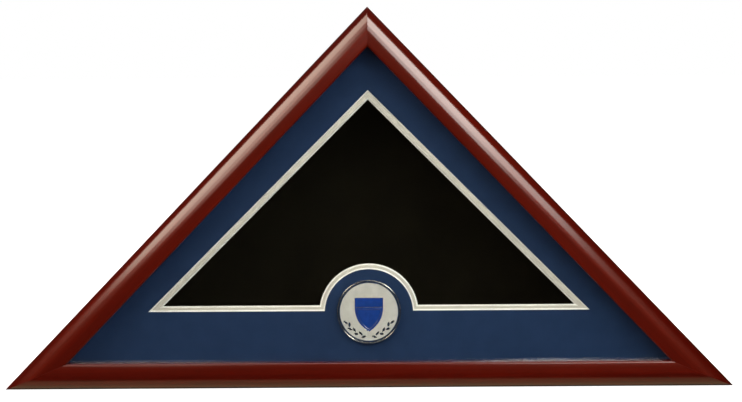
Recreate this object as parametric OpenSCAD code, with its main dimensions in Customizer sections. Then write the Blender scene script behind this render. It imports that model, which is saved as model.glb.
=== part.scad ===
// Folded flag display case: a mitred triangular frame with a glass front, a double mat with a
// medallion, and a removable back. The front faces -Y, and the origin is under the middle of the base.

/* [Frame] */
// Width of the case along its base
case_w = 680; // [640:1:720]
// Height of the case
case_h = 354.4; // [340:0.1:370]
// Depth from the crest of the moulding to the tips of the wall bumpers
case_d = 102; // [96:1:120]
// Width of the moulding's face
face_w = 25.4; // [24:0.1:28]
// Thickness of the rail behind the lip
wall_t = 18; // [16:0.5:20]
// Thickness of the lip in front of the glass
lip_t = 12; // [10:0.5:14]
// Radius of the moulding's outer round
round_r = 15; // [10:0.5:16]
// Radius of the crown between the outer round and the sight edge
crown_r = 70; // [50:1:90]
// Radius of the sight edge
sight_r = 2.2; // [1:0.1:3]

/* [Glass and mats] */
// Thickness of the glass
glass_t = 2; // [2:0.5:3]
// Depth of the spacers between the glass and the mats
spacer_d = 6.5; // [6:0.5:8]
// Width of the spacers, which the lip hides
spacer_w = 5.6; // [4:0.1:6]
// Thickness of one mat board
mat_t = 1.5; // [1.2:0.1:2]
// Side of the square retaining strips behind the mats
stop_s = 8; // [6:0.5:10]
// Height of the bottom edge of the blue mat's window
window_z = 71.3; // [68:0.1:76]
// Height of the apex of the blue mat's right-angled window
window_apex_z = 277.4; // [270:0.1:284]
// Silver mat showing along the window's sloping sides
reveal = 6.35; // [4:0.05:8]
// Silver mat showing along the window's bottom edge and arch
low_reveal = 5; // [4:0.05:8]
// Radius of the arch in the blue mat around the medallion
arch_r = 41.3; // [38:0.1:44]
// Height of the arch's centre
arch_z = 69.1; // [68:0.1:72]

/* [Medallion] */
// Diameter of the medallion
medal_dia = 59.5; // [50:0.5:62]
// Height of the medallion's centre
medal_z = 70.8; // [69:0.1:72]
// Thickness of the medallion's disc
medal_t = 3; // [2:0.1:3.5]
// Width of the enamel ring
enamel_w = 1.8; // [1:0.1:3]

/* [Back] */
// Thickness of the back board
board_t = 4; // [3:0.5:4.5]
// Thickness of the black lining glued to the back board
lining_t = 1; // [0.5:0.1:1.5]
// Width of the rebate that the back board sits in
rebate_w = 6; // [5:0.5:7]
// Length of a turn button
button_l = 25; // [22:1:28]
// Height of a wall bumper
bumper_h = 4; // [4:0.1:5]

/* [Hidden] */
$fn = 96;

// Triangle: base angle and the three corners, as [x, z].
half_w = case_w / 2;
base_a = atan2(case_h, half_w);
side_l = norm([half_w, case_h]);
corner_r = [half_w, 0];
corner_l = [-half_w, 0];
apex = [0, case_h];
incentre = [0, half_w * tan(base_a / 2)];

// A side is [start corner, end corner, turn about Y, length]. Its local frame has X along the side,
// Y inwards from the outer face and Z towards the back.
BOTTOM = [corner_r, corner_l, 0, case_w];
LEFT = [corner_l, apex, 180 - base_a, side_l];
RIGHT = [apex, corner_r, 180 + base_a, side_l];
SIDES = [BOTTOM, LEFT, RIGHT];

// Depths along Y, from the front.
front_y = -case_d / 2;
rear_y = case_d / 2 - bumper_h;
rail_d = rear_y - front_y;
glass_y = front_y + lip_t;
spacer_y = glass_y + glass_t;
blue_y = spacer_y + spacer_d;
silver_y = blue_y + mat_t;
stop_y = silver_y + mat_t;
board_y = rear_y - board_t;
lining_y = board_y - lining_t;
rebate_d = board_t + lining_t;

// Clearances and fits.
play = 0.5;
slit = 0.3;
running = 0.05;
bite = 0.25;
more = 1;

// Rear hardware, on the middle of the land beside the rebate.
land_w = wall_t - rebate_w;
land_u = land_w / 2;
washer_t = 0.5;
washer_r = 3.4;
button_w = 10;
button_t = 1.2;
screw_r = 1.75;
screw_l = 16;
head_r = 3.1;
head_t = 1.6;
head_gap = 0.1;
bottom_button_x = 150;
side_button_low = 130;
side_button_high = 350;

// D-ring hangers. The ring's wire turns in a rolled eye at the upper end of the strap.
strap_w = 8;
strap_t = 0.8;
strap_l = 27;
strap_hole = 20;
wire_r = 0.8;
ring_inner_w = 8;
ring_leg = 4.5;
eye_r = wire_r + running + strap_t;
eye_w = 6;
eye_h = strap_t + slit + wire_r;
ring_r = ring_inner_w / 2 + wire_r;
hanger_s = 270;

// Corner V-nails.
nail_leg = 4.5;
nail_t = 0.5;
nail_depth = 10;
nail_sink = 0.2;
foot_nails = [12, 23];
apex_nails = [6, 12];

// Wall bumpers.
bumper_r = 4;
bumper_dome_r = 7;

// Medallion layers.
pad_t = 0.8;
medal_r = medal_dia / 2;
rim_w = 0.9;
inlay_t = 0.4;
inlay_proud = 0.15;
sprig_r = 22.8;
leaf_l = 4.4;
leaf_w = 1.7;
leaf_count = 7;
sprig_from = 12;
leaf_step = 9;
leaf_tilt = 28;
leaf_shift = 1.1;
medal_front = blue_y - pad_t - medal_t;

// Corners of the case's triangle moved inwards by t, as [x, z].
function inset(t) = [
    [half_w - t / tan(base_a / 2), t],
    [-half_w + t / tan(base_a / 2), t],
    [0, case_h - t / cos(base_a)]];

// An upright plate from y0 to y1 with a 2D outline in [x, z].
module plate(y0, y1) {
    translate([0, y1, 0])
        rotate([90, 0, 0])
            linear_extrude(y1 - y0)
                children();
}

// Children in the local frame of a side.
module on_side(side) {
    translate([side[0][0], 0, side[0][1]])
        rotate([0, side[2], 0])
            rotate([90, 0, 180])
                children();
}

// Children on the land at the back of a rail, s along the side.
module on_land(side, s) {
    on_side(side)
        translate([s, land_u, rear_y])
            children();
}

// A length of moulding or strip with a 2D section in [inwards, back], mitred at both ends.
module mitred(side) {
    intersection() {
        on_side(side)
            rotate([90, 0, 90])
                linear_extrude(side[3])
                    children();
        plate(-case_d, case_d)
            polygon([side[0], side[1], incentre]);
    }
}

// Moulding: outer round, crowned face, eased sight edge, lip, wall and rear rebate.
module rail_section() {
    crown_drop = crown_r - sqrt(pow(crown_r, 2) - pow(face_w - sight_r - round_r, 2));
    translate([0, front_y])
        difference() {
            union() {
                intersection() {
                    translate([round_r, round_r])
                        circle(round_r);
                    square(round_r);
                }
                translate([0, round_r])
                    square([wall_t, rail_d - round_r]);
                intersection() {
                    translate([round_r, crown_r])
                        circle(crown_r, $fn = 360);
                    translate([round_r, 0])
                        square([face_w - sight_r - round_r, round_r + more]);
                }
                translate([face_w - 2 * sight_r, crown_drop + sight_r])
                    square([2 * sight_r, lip_t - crown_drop - sight_r]);
                translate([face_w - sight_r, crown_drop + sight_r])
                    circle(sight_r);
            }
            translate([wall_t, lip_t])
                square([face_w, rail_d]);
            translate([wall_t - rebate_w, rail_d - rebate_d])
                square([rebate_w + more, rebate_d + more]);
        }
}

module strip_section(u, width, y0, depth) {
    translate([u, y0])
        square([width, depth]);
}

// Distances along each side of its two turn buttons.
function button_places(side) = side == BOTTOM
    ? [half_w - bottom_button_x, half_w + bottom_button_x]
    : side == LEFT ? [side_button_low, side_button_high]
    : [side_l - side_button_high, side_l - side_button_low];

// Distance along a side rail of its hanger's eye.
function hanger_place(side) = side == LEFT ? hanger_s : side_l - hanger_s;

// The strap runs from the eye towards the foot of the rail.
function strap_turn(side) = side == LEFT ? 180 : 0;

// Holes for the screws that bite into a rail.
module pilot_holes(side) {
    for (s = button_places(side))
        on_land(side, s)
            translate([0, 0, -screw_l])
                cylinder(r = screw_r - bite, h = screw_l + more);
    if (side != BOTTOM)
        on_land(side, hanger_place(side))
            rotate([0, 0, strap_turn(side)])
                translate([strap_hole, 0, -screw_l])
                    cylinder(r = screw_r - bite, h = screw_l + more);
}

module rail(side) {
    color([0.36, 0.09, 0.05])
        difference() {
            mitred(side)
                rail_section();
            pilot_holes(side);
            corner_v_nails(true);
        }
}

// Children on the back of the frame at a corner, with X along the mitre and Z towards the back.
module at_corner(corner, turn) {
    translate([corner[0], rear_y, corner[1]])
        rotate([0, turn, 0])
            rotate([90, 0, 180])
                children();
}

// A V-nail across a mitre, sunk below the surface, or the slot that it is driven into.
module v_nail(slot) {
    for (a = [-45, 45])
        rotate([0, 0, a])
            translate([0, -nail_t / 2, -nail_depth])
                cube([nail_leg, nail_t, nail_depth - nail_sink + (slot ? more : 0)]);
}

module corner_v_nails(slot = false) {
    color("gainsboro") {
        for (s = foot_nails) {
            at_corner(corner_r, base_a / 2)
                translate([s, 0, 0])
                    v_nail(slot);
            at_corner(corner_l, 180 - base_a / 2)
                translate([s, 0, 0])
                    v_nail(slot);
        }
        for (s = apex_nails)
            at_corner(apex, 270)
                translate([s, 0, 0])
                    v_nail(slot);
    }
}

module front_glass() {
    color("lightcyan", 0.3)
        plate(glass_y, spacer_y)
            polygon(inset(wall_t + play));
}

module spacer(side) {
    color("black")
        mitred(side)
            strip_section(wall_t + slit, spacer_w, spacer_y, spacer_d);
}

module mat_stop(side) {
    color("saddlebrown")
        mitred(side)
            strip_section(wall_t, stop_s, stop_y, stop_s);
}

// A window with 45 degree sides whose bottom edge rises over the medallion in an arch.
module window(grow, low_grow) {
    apex_z = window_apex_z - grow * sqrt(2);
    foot_z = window_z + low_grow;
    difference() {
        polygon([[apex_z - foot_z, foot_z], [foot_z - apex_z, foot_z], [0, apex_z]]);
        translate([0, arch_z])
            circle(arch_r + low_grow);
    }
}

module blue_mat() {
    color([0.13, 0.21, 0.32])
        plate(blue_y, silver_y)
            difference() {
                polygon(inset(wall_t + play));
                window(0, 0);
            }
}

module silver_mat() {
    color([0.77, 0.75, 0.69])
        plate(silver_y, stop_y)
            difference() {
                polygon(inset(wall_t + play));
                window(reveal, low_reveal);
            }
}

module on_medallion(y0, y1) {
    plate(y0, y1)
        translate([0, medal_z])
            children();
}

// The disc has a shallow channel for the enamel ring and a recess for each inlay.
module medallion_disc() {
    color("silver")
        difference() {
            on_medallion(medal_front, blue_y - pad_t)
                circle(medal_r);
            on_medallion(medal_front - more, medal_front + inlay_t)
                union() {
                    ring_outline();
                    shield_outline();
                    laurel_outline();
                }
        }
}

module ring_outline() {
    difference() {
        circle(medal_r - rim_w);
        circle(medal_r - rim_w - enamel_w);
    }
}

module medallion_enamel_ring() {
    color([0.07, 0.15, 0.23])
        on_medallion(medal_front - inlay_proud, medal_front + inlay_t)
            ring_outline();
}

// A plain heater shield: a straight chief over two arcs that meet in a point.
module shield_outline() {
    shield_w = 26;
    chief_h = 9;
    chief_z = 13;
    translate([0, chief_z - chief_h])
        union() {
            translate([-shield_w / 2, 0])
                square([shield_w, chief_h]);
            intersection() {
                translate([-shield_w / 2, 0])
                    circle(shield_w);
                translate([shield_w / 2, 0])
                    circle(shield_w);
                translate([-shield_w / 2, -shield_w])
                    square([shield_w, shield_w]);
            }
        }
}

module medallion_shield() {
    color([0.1, 0.22, 0.6])
        on_medallion(medal_front - inlay_proud, medal_front + inlay_t)
            shield_outline();
}

// A leaf is the lens where two equal circles cross.
module leaf() {
    bow_r = (pow(leaf_l, 2) + pow(leaf_w, 2)) / (4 * leaf_w);
    intersection() {
        translate([0, bow_r - leaf_w / 2])
            circle(bow_r);
        translate([0, leaf_w / 2 - bow_r])
            circle(bow_r);
    }
}

// Two sprigs that rise from the bottom of the disc, with leaves on the outer and inner side in turn.
module laurel_outline() {
    for (flip = [0, 1], i = [0:leaf_count - 1])
        mirror([flip, 0])
            rotate(sprig_from + i * leaf_step - 90)
                translate([sprig_r + (i % 2 == 0 ? leaf_shift : -leaf_shift), 0])
                    rotate(i % 2 == 0 ? 90 - leaf_tilt : 90 + leaf_tilt)
                        leaf();
}

module medallion_laurel() {
    color([0.05, 0.08, 0.2])
        on_medallion(medal_front - inlay_proud, medal_front + inlay_t)
            laurel_outline();
}

module medallion_pad() {
    pad_r = 24;
    color("white")
        on_medallion(blue_y - pad_t, blue_y)
            circle(pad_r);
}

module back_board() {
    color("peru")
        plate(board_y, rear_y)
            polygon(inset(land_w + play));
}

// The lining covers the whole face of the board and beds on the rebate.
module back_lining() {
    color([0.05, 0.05, 0.05])
        plate(lining_y, board_y)
            polygon(inset(land_w + play));
}

// A flat steel button with a pivot hole near one end. At rest it lies along the rail, clear of the
// board, and a quarter turn brings it over the board.
module turn_button(side, place, direction) {
    reach = button_l - button_w;
    color("darkgoldenrod")
        on_land(side, button_places(side)[place])
            translate([0, 0, washer_t])
                difference() {
                    union() {
                        cylinder(r = button_w / 2, h = button_t);
                        translate([direction * reach, 0, 0])
                            cylinder(r = button_w / 2, h = button_t);
                        translate([direction > 0 ? 0 : -reach, -button_w / 2, 0])
                            cube([reach, button_w, button_t]);
                    }
                    translate([0, 0, -more])
                        cylinder(r = screw_r + running, h = button_t + 2 * more);
                }
}

// A pan-head screw. Its head stands clear by gap above z = 0 and its shank runs down.
module screw(gap) {
    slot_w = 0.8;
    difference() {
        union() {
            translate([0, 0, -screw_l])
                cylinder(r = screw_r, h = screw_l + gap);
            translate([0, 0, gap])
                cylinder(r = head_r, h = head_t);
        }
        for (a = [0, 90])
            rotate([0, 0, a])
                translate([-head_r / 2, -slot_w / 2, gap + head_t / 2])
                    cube([head_r, slot_w, head_t]);
    }
}

module turn_button_screws() {
    color("silver")
        for (side = SIDES, s = button_places(side))
            on_land(side, s)
                screw(washer_t + button_t + head_gap);
}

module turn_button_washers() {
    color("gainsboro")
        for (side = SIDES, s = button_places(side))
            on_land(side, s)
                difference() {
                    cylinder(r = washer_r, h = washer_t);
                    translate([0, 0, -more])
                        cylinder(r = screw_r, h = washer_t + 2 * more);
                }
}

// Local frame of a hanger: X along the strap from the eye, Y across it.
module on_hanger(side) {
    on_land(side, hanger_place(side))
        rotate([0, 0, strap_turn(side)])
            children();
}

module hanger_strap(side) {
    color("silver")
        on_hanger(side)
            difference() {
                union() {
                    translate([0, -eye_w / 2, 0])
                        cube([eye_r, eye_w, strap_t]);
                    translate([eye_r, -strap_w / 2, 0])
                        cube([strap_l - strap_w / 2 - eye_r, strap_w, strap_t]);
                    translate([strap_l - strap_w / 2, 0, 0])
                        cylinder(r = strap_w / 2, h = strap_t);
                    translate([0, eye_w / 2, eye_h])
                        rotate([90, 0, 0])
                            cylinder(r = eye_r, h = eye_w);
                }
                translate([0, strap_w, eye_h])
                    rotate([90, 0, 0])
                        cylinder(r = wire_r + running, h = 2 * strap_w);
                translate([strap_hole, 0, -more])
                    cylinder(r = screw_r, h = strap_t + 2 * more);
            }
}

// The ring: a bar through the eye, two legs and a half-round bow, all of one wire.
module d_ring(side) {
    color("silver")
        on_hanger(side)
            translate([0, 0, eye_h]) {
                translate([0, ring_r, 0])
                    rotate([90, 0, 0])
                        cylinder(r = wire_r, h = 2 * ring_r);
                for (y = [-ring_r, ring_r])
                    translate([0, y, 0]) {
                        sphere(wire_r);
                        rotate([0, 90, 0])
                            cylinder(r = wire_r, h = ring_leg);
                    }
                translate([ring_leg, 0, 0])
                    rotate([0, 0, -90])
                        rotate_extrude(angle = 180)
                            translate([ring_r, 0])
                                circle(wire_r);
            }
}

module hanger_screws() {
    color("silver")
        for (side = [LEFT, RIGHT])
            on_hanger(side)
                translate([strap_hole, 0, 0])
                    screw(strap_t);
}

// A bumper is the cap of a sphere on a short round foot.
module bumper() {
    foot_h = 1;
    intersection() {
        translate([0, 0, bumper_h - bumper_dome_r])
            sphere(bumper_dome_r);
        cylinder(r = bumper_r, h = bumper_h);
    }
    cylinder(r = bumper_r, h = foot_h);
}

module wall_bumpers() {
    foot_s = 40;
    apex_s = 32;
    color("lightgrey") {
        for (s = [foot_s, case_w - foot_s])
            on_land(BOTTOM, s)
                bumper();
        on_land(LEFT, side_l - apex_s)
            bumper();
        on_land(RIGHT, apex_s)
            bumper();
    }
}

rail(LEFT);  // left_rail
rail(RIGHT);  // right_rail
rail(BOTTOM);  // bottom_rail
corner_v_nails();
front_glass();
spacer(LEFT);  // spacer_left
spacer(RIGHT);  // spacer_right
spacer(BOTTOM);  // spacer_bottom
blue_mat();
silver_mat();
mat_stop(LEFT);  // mat_stop_left
mat_stop(RIGHT);  // mat_stop_right
mat_stop(BOTTOM);  // mat_stop_bottom
medallion_disc();
medallion_enamel_ring();
medallion_shield();
medallion_laurel();
medallion_pad();
back_board();
back_lining();
turn_button(LEFT, 0, 1);  // turn_button_left_lower
turn_button(LEFT, 1, -1);  // turn_button_left_upper
turn_button(RIGHT, 1, -1);  // turn_button_right_lower
turn_button(RIGHT, 0, 1);  // turn_button_right_upper
turn_button(BOTTOM, 1, -1);  // turn_button_bottom_left
turn_button(BOTTOM, 0, 1);  // turn_button_bottom_right
turn_button_screws();
turn_button_washers();
hanger_strap(LEFT);  // hanger_strap_left
hanger_strap(RIGHT);  // hanger_strap_right
d_ring(LEFT);  // d_ring_left
d_ring(RIGHT);  // d_ring_right
hanger_screws();
wall_bumpers();
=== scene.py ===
"""Looks of a folded flag display case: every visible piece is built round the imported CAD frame."""

from math import acos, asin, atan2, cos, degrees, hypot, pi, radians, sin, sqrt, tan

import bmesh
import bpy
from mathutils import Matrix, Vector
from mathutils.geometry import tessellate_polygon

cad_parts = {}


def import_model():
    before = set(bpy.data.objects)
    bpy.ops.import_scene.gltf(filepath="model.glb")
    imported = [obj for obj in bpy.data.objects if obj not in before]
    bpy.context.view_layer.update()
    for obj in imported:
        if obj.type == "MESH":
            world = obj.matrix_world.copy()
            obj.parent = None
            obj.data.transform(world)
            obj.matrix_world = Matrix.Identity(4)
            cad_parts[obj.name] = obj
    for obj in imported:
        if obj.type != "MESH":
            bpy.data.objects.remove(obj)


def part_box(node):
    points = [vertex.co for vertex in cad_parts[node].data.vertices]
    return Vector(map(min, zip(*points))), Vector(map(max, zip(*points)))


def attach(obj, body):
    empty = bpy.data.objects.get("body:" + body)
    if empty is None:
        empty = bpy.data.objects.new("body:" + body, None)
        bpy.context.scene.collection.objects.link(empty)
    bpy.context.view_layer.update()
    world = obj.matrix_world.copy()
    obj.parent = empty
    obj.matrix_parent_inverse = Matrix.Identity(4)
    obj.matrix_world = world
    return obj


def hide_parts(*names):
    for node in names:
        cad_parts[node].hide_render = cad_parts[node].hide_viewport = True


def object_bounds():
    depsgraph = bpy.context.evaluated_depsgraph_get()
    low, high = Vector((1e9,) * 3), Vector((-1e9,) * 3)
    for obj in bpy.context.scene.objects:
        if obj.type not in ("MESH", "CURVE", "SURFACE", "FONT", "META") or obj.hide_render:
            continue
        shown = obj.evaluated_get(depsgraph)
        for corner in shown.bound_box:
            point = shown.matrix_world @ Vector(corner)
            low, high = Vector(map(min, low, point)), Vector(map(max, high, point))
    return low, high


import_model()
CAD_LO, CAD_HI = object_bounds()

# ------- sizes, in metres

MM = 0.001

# Case, from the frame.
HALF_W = CAD_HI.x
CASE_H = CAD_HI.z
FRONT_Y = CAD_LO.y
GLASS_Y, SPACER_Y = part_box("front_glass")[0].y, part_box("front_glass")[1].y
BLUE_Y, SILVER_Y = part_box("blue_mat")[0].y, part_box("blue_mat")[1].y
STOP_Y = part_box("silver_mat")[1].y
LINING_Y, BOARD_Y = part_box("back_lining")[0].y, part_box("back_lining")[1].y
REAR_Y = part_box("back_board")[1].y
PLAY = 0.5 * MM
WALL_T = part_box("front_glass")[0].z - PLAY
BOARD_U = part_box("back_board")[0].z
LAND_W = BOARD_U - PLAY
LAND_U = LAND_W / 2
BASE_A = atan2(CASE_H, HALF_W)

# Moulding.
FACE_W = 25.4 * MM
ROUND_R = 15 * MM
CROWN_R = 70 * MM
SIGHT_R = 2.2 * MM
OUTER_U = 0.3 * MM
GROOVE = 0.12 * MM

# Strips.
SPACER_U, SPACER_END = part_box("spacer_bottom")[0].z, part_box("spacer_bottom")[1].z
STOP_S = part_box("mat_stop_bottom")[1].z - WALL_T

# Mats.
REVEAL = 6.35 * MM
LOW_REVEAL = 5 * MM
WINDOW_Z = 71.3 * MM
WINDOW_APEX_Z = 277.4 * MM
ARCH_R = 41.3 * MM
ARCH_Z = 69.1 * MM
BLUE_BEVEL = 1.3 * MM
SILVER_BEVEL = 1.4 * MM

# Medallion.
DISC_LO, DISC_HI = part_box("medallion_disc")
MEDAL_R = (DISC_HI.x - DISC_LO.x) / 2
MEDAL_Z = (DISC_HI.z + DISC_LO.z) / 2
MEDAL_Y = DISC_LO.y
MEDAL_T = DISC_HI.y - DISC_LO.y
BEAD_R = 0.35 * MM
RIM_W = 0.9 * MM
ENAMEL_W = 1.8 * MM
INLAY_T = 0.4 * MM
INLAY_PROUD = 0.15 * MM
WALL_LINE = 0.3 * MM
SHIELD_W = 26 * MM
CHIEF_H = 9 * MM
CHIEF_Z = 13 * MM
CHIEF_GAP = 0.6 * MM
SPRIG_R = 22.8 * MM
LEAF_L = 4.4 * MM
LEAF_W = 1.7 * MM
LEAF_COUNT = 7
SPRIG_FROM = 12
LEAF_STEP = 9
LEAF_TILT = 28
LEAF_SHIFT = 1.1 * MM

# Rear hardware.
WASHER_T = 0.5 * MM
WASHER_R = 3.4 * MM
BUTTON_W = 10 * MM
BUTTON_L = 25 * MM
BUTTON_T = 1.2 * MM
SCREW_R = 1.75 * MM
SCREW_L = 16 * MM
HEAD_R = 3.1 * MM
HEAD_T = 1.6 * MM
HEAD_GAP = 0.1 * MM
BITE = 0.25 * MM
BOTTOM_BUTTON_X = 150 * MM
SIDE_BUTTON_LOW = 130 * MM
SIDE_BUTTON_HIGH = 350 * MM
STRAP_W = 8 * MM
STRAP_T = 0.8 * MM
STRAP_L = 27 * MM
STRAP_HOLE = 20 * MM
WIRE_R = 0.8 * MM
RUNNING = 0.05 * MM
SLIT = 0.3 * MM
EYE_R = WIRE_R + RUNNING + STRAP_T
EYE_W = 6 * MM
EYE_H = STRAP_T + SLIT + WIRE_R
RING_LEG = 4.5 * MM
RING_R = 4 * MM + WIRE_R
HANGER_S = 270 * MM
NAIL_LEG = 4.5 * MM
NAIL_T = 0.5 * MM
NAIL_DEPTH = 10 * MM
FOOT_NAILS = (12 * MM, 23 * MM)
APEX_NAILS = (6 * MM, 12 * MM)
BUMPER_H = CAD_HI.y - REAR_Y
BUMPER_R = 4 * MM
BUMPER_DOME_R = 7 * MM
FOOT_BUMPER_S = 40 * MM
APEX_BUMPER_S = 32 * MM
BOSS_R = 2.6 * MM
BOSS_H = 0.55 * MM
THREAD_PITCH = 1.3 * MM
THREAD_TOP = -3 * MM
POINT_L = 4 * MM
RECESS_TURN = 0.12

# Stage, lights and camera. Angles are in degrees.
FLOOR_HALF = 14
PANEL_REACH = 1.5
TOP_REACH = 1.7
REAR_REACH = 2.4
CAMERA_LENS = 105.62
CAMERA_AWAY = 2.0
CAMERA_Z = 0.330
CAMERA_PITCH = -4.412
CAMERA_YAW = 0.072
CAMERA_ROLL = -0.333


class Side:
    """One side of the triangle: s runs along it, u inwards from its outer face, and depth is world Y."""

    def __init__(self, name, start, end, start_half, end_half):
        self.name = name
        self.start = Vector((start[0], 0, start[1]))
        span = Vector((end[0], 0, end[1])) - self.start
        self.length = span.length
        self.along = span.normalized()
        self.inward = Vector((0, 1, 0)).cross(self.along)
        self.cots = 1 / tan(start_half), 1 / tan(end_half)
        self.turn = atan2(self.along.z, self.along.x)

    def matrix(self, s=0, u=0, depth=0, turn=0):
        """Local X along, Y inward and Z back, at a place on this side."""
        axes = Matrix((self.along, self.inward, (0, 1, 0))).transposed().to_4x4()
        place = self.start + self.along * s + self.inward * u + Vector((0, depth, 0))
        return Matrix.Translation(place) @ axes @ Matrix.Rotation(turn, 4, "Z")

    def land(self, s, turn=0):
        """A place on the flat land at the back of this side's rail."""
        return self.matrix(s, LAND_U, REAR_Y, turn)


APEX = (0, CASE_H)
APEX_HALF = pi / 2 - BASE_A
BOTTOM = Side("bottom", (HALF_W, 0), (-HALF_W, 0), BASE_A / 2, BASE_A / 2)
LEFT = Side("left", (-HALF_W, 0), APEX, BASE_A / 2, APEX_HALF)
RIGHT = Side("right", APEX, (HALF_W, 0), APEX_HALF, BASE_A / 2)
SIDES = (BOTTOM, LEFT, RIGHT)

# Places of the turn buttons: name, side, distance along it, and the way that the free end points.
BUTTONS = (
    ("left_lower", LEFT, SIDE_BUTTON_LOW, 1),
    ("left_upper", LEFT, SIDE_BUTTON_HIGH, -1),
    ("right_lower", RIGHT, RIGHT.length - SIDE_BUTTON_LOW, -1),
    ("right_upper", RIGHT, RIGHT.length - SIDE_BUTTON_HIGH, 1),
    ("bottom_left", BOTTOM, HALF_W + BOTTOM_BUTTON_X, -1),
    ("bottom_right", BOTTOM, HALF_W - BOTTOM_BUTTON_X, 1),
)
# Places of the hangers: name, side, distance along it, and the turn that sends the strap to the foot.
HANGERS = (("left", LEFT, HANGER_S, pi), ("right", RIGHT, RIGHT.length - HANGER_S, 0))

# Upright plates: local X stays, local Y is up and local Z is world Y.
UPRIGHT = Matrix(((1, 0, 0, 0), (0, 0, 1, 0), (0, 1, 0, 0), (0, 0, 0, 1)))
ON_MEDAL = Matrix.Translation((0, MEDAL_Y, MEDAL_Z)) @ UPRIGHT


# ------- materials


def srgb(red, green, blue):
    """A linear colour from 8-bit sRGB numbers."""
    parts = [c / 255 for c in (red, green, blue)]
    return tuple(c / 12.92 if c <= 0.04045 else ((c + 0.055) / 1.055) ** 2.4 for c in parts) + (1,)


class Material:
    """A Principled material whose textures are laid out in object space."""

    def __init__(self, name, **sockets):
        self.material = bpy.data.materials.new(name)
        self.material.use_nodes = True
        self.tree = self.material.node_tree
        self.tree.nodes.clear()
        self.output = self.tree.nodes.new("ShaderNodeOutputMaterial")
        self.shader = self.tree.nodes.new("ShaderNodeBsdfPrincipled")
        self.tree.links.new(self.shader.outputs[0], self.output.inputs[0])
        for socket, value in sockets.items():
            self.shader.inputs[socket.replace("_", " ")].default_value = value

    def node(self, kind, inputs=None, **settings):
        """A new node; inputs holds a value or an output socket for each input's name or number."""
        made = self.tree.nodes.new(kind)
        for key, value in settings.items():
            setattr(made, key, value)
        for key, value in (inputs or {}).items():
            if isinstance(value, bpy.types.NodeSocket):
                self.tree.links.new(value, made.inputs[key])
            else:
                made.inputs[key].default_value = value
        return made

    def place(self, turn=0, stretch=(1, 1, 1)):
        """Object coordinates turned about Y, so that X runs along a side, and then stretched."""
        start = self.node("ShaderNodeTexCoord").outputs["Object"]
        along = self.node("ShaderNodeMapping", {"Vector": start, "Rotation": (0, turn, 0)})
        scaled = self.node("ShaderNodeMapping", {"Vector": along.outputs[0], "Scale": stretch})
        return scaled.outputs[0]

    def noise(self, scale, detail=2.0, roughness=0.5, distortion=0.0, where=None):
        inputs = {"Vector": where or self.place(), "Scale": scale, "Detail": detail}
        inputs |= {"Roughness": roughness, "Distortion": distortion}
        return self.node("ShaderNodeTexNoise", inputs).outputs[0]

    def cells(self, scale, where=None):
        inputs = {"Vector": where or self.place(), "Scale": scale}
        return self.node("ShaderNodeTexVoronoi", inputs).outputs["Distance"]

    def span(self, value, low=0.3, high=0.7, to_low=0.0, to_high=1.0):
        """Value between low and high, spread over the range from to_low to to_high and held there."""
        inputs = {0: value, 1: low, 2: high, 3: to_low, 4: to_high}
        return self.node("ShaderNodeMapRange", inputs).outputs[0]

    def math(self, operation, a, b):
        return self.node("ShaderNodeMath", {0: a, 1: b}, operation=operation).outputs[0]

    def mix(self, factor, a, b):
        return self.node("ShaderNodeMix", {0: factor, 6: a, 7: b}, data_type="RGBA").outputs[2]

    def colour(self, factor, a, b):
        self.tree.links.new(self.mix(factor, a, b), self.shader.inputs["Base Color"])

    def rough(self, pattern, smooth, coarse):
        spread = self.span(pattern, 0.3, 0.7, smooth, coarse)
        self.tree.links.new(spread, self.shader.inputs["Roughness"])

    def bump(self, height, distance, coat=False):
        """Relief whose full range of height stands for distance in metres."""
        inputs = {"Height": height, "Distance": distance, "Strength": 1.0}
        made = self.node("ShaderNodeBump", inputs).outputs[0]
        self.tree.links.new(made, self.shader.inputs["Normal"])
        if coat:
            self.tree.links.new(made, self.shader.inputs["Coat Normal"])


def mahogany(side, part, coat, smooth, coarse):
    """Red mahogany with its grain along one side, under lacquer with a glossy coat of this weight."""
    m = Material(f"mahogany_{side.name}_{part}", Coat_Weight=coat, Coat_Roughness=0.16, Coat_IOR=1.65,
                 Specular_IOR_Level=0.3, Specular_Tint=(1, 0.16, 0.03, 1))
    ribbon = m.noise(1, 3, 0.55, 0.6, m.place(side.turn, (4, 90, 90)))
    streak = m.noise(1, 3, 0.6, 0.2, m.place(side.turn, (14, 600, 600)))
    pore = m.noise(1, 1, 0.5, 0, m.place(side.turn, (110, 2600, 2600)))
    tone = m.mix(m.span(ribbon, 0.35, 0.68), srgb(72, 4, 0), srgb(90, 9, 1))
    tone = m.mix(m.span(streak, 0.4, 0.7, 0, 0.45), tone, srgb(60, 3, 0))
    dark = m.span(pore, 0.62, 0.7, 0, 0.5)
    m.colour(dark, tone, srgb(40, 4, 1))
    m.rough(streak, smooth, coarse)
    relief = m.math("SUBTRACT", m.math("MULTIPLY", ribbon, 0.6), m.math("MULTIPLY", dark, 0.4))
    m.bump(relief, 0.006 * MM, True)
    return m.material


def glass():
    """Clear float glass that lets the lamps' light straight through."""
    m = Material("clear_glass", Transmission_Weight=1.0, Roughness=0.0, IOR=1.5,
                 Base_Color=(0.985, 0.995, 0.99, 1))
    path = m.node("ShaderNodeLightPath")
    clear = m.node("ShaderNodeBsdfTransparent", {"Color": (0.9, 0.92, 0.91, 1)})
    both = m.node(
        "ShaderNodeMixShader",
        {0: path.outputs["Is Shadow Ray"], 1: m.shader.outputs[0], 2: clear.outputs[0]},
    )
    m.tree.links.new(both.outputs[0], m.output.inputs[0])
    return m.material


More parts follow.
